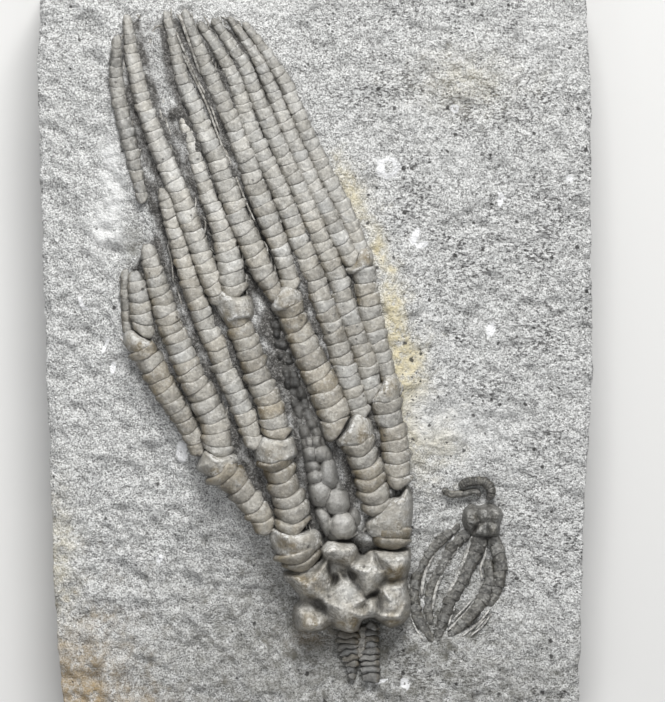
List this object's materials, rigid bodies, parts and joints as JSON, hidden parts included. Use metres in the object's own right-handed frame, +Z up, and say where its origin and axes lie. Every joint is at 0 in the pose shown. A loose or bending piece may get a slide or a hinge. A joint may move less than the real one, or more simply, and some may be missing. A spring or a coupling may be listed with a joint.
{
  "type": "crinoid fossil on a matrix slab",
  "caption": "Fossil crinoid crown with cup, branching segmented arms and stem stub, and a small crinoid beside it, in relief on a rough slab of grey matrix.",
  "frame": {"origin": "centre of the box's bottom face, on the slab's flat back", "axes": "+Y from the crown's cup towards its arm tips, along the slab's long side; +Z up out of the fossil's face; +X to the right seen from above"},
  "size_m": [0.0894, 0.12, 0.028],
  "materials": {
    "matrix": "matt, stippled, pale warm grey siltstone with dark specks",
    "crinoid_plates": "smooth taupe grey calcite with a slight sheen",
    "dark_sac": "dark grey brown pebbly calcite",
    "dark_stem": "dark grey ridged calcite",
    "small_crinoid": "dark grey low relief calcite with pale dust in the joints"
  },
  "bodies": {
    "root": {"matrix_slab": "matrix", "cup": "crinoid_plates", "stem_stub": "dark_stem", "anal_sac": "dark_sac", "left_ray_base": "crinoid_plates", "left_inner_lower_arm": "crinoid_plates", "left_inner_upper_arm": "crinoid_plates", "left_outer_lower_arm": "crinoid_plates", "left_outer_upper_arm": "crinoid_plates", "left_arm_1": "crinoid_plates", "left_arm_2": "crinoid_plates", "left_arm_3": "crinoid_plates", "left_arm_4": "crinoid_plates", "left_arm_5": "crinoid_plates", "left_arm_6": "crinoid_plates", "left_arm_7": "crinoid_plates", "middle_lower_arm": "crinoid_plates", "middle_upper_arm": "crinoid_plates", "middle_arm_1": "crinoid_plates", "middle_arm_2": "crinoid_plates", "middle_arm_3": "crinoid_plates", "right_ray_base": "crinoid_plates", "right_lower_arm": "crinoid_plates", "right_upper_arm": "crinoid_plates", "right_arm_1": "crinoid_plates", "right_arm_2": "crinoid_plates", "right_arm_3": "crinoid_plates", "small_stem": "small_crinoid", "small_cup": "small_crinoid", "small_arm_1": "small_crinoid", "small_arm_2": "small_crinoid", "small_arm_3": "small_crinoid", "small_arm_4": "small_crinoid", "small_arm_5": "small_crinoid", "small_arm_6": "small_crinoid"}
  },
  "joints": []
}
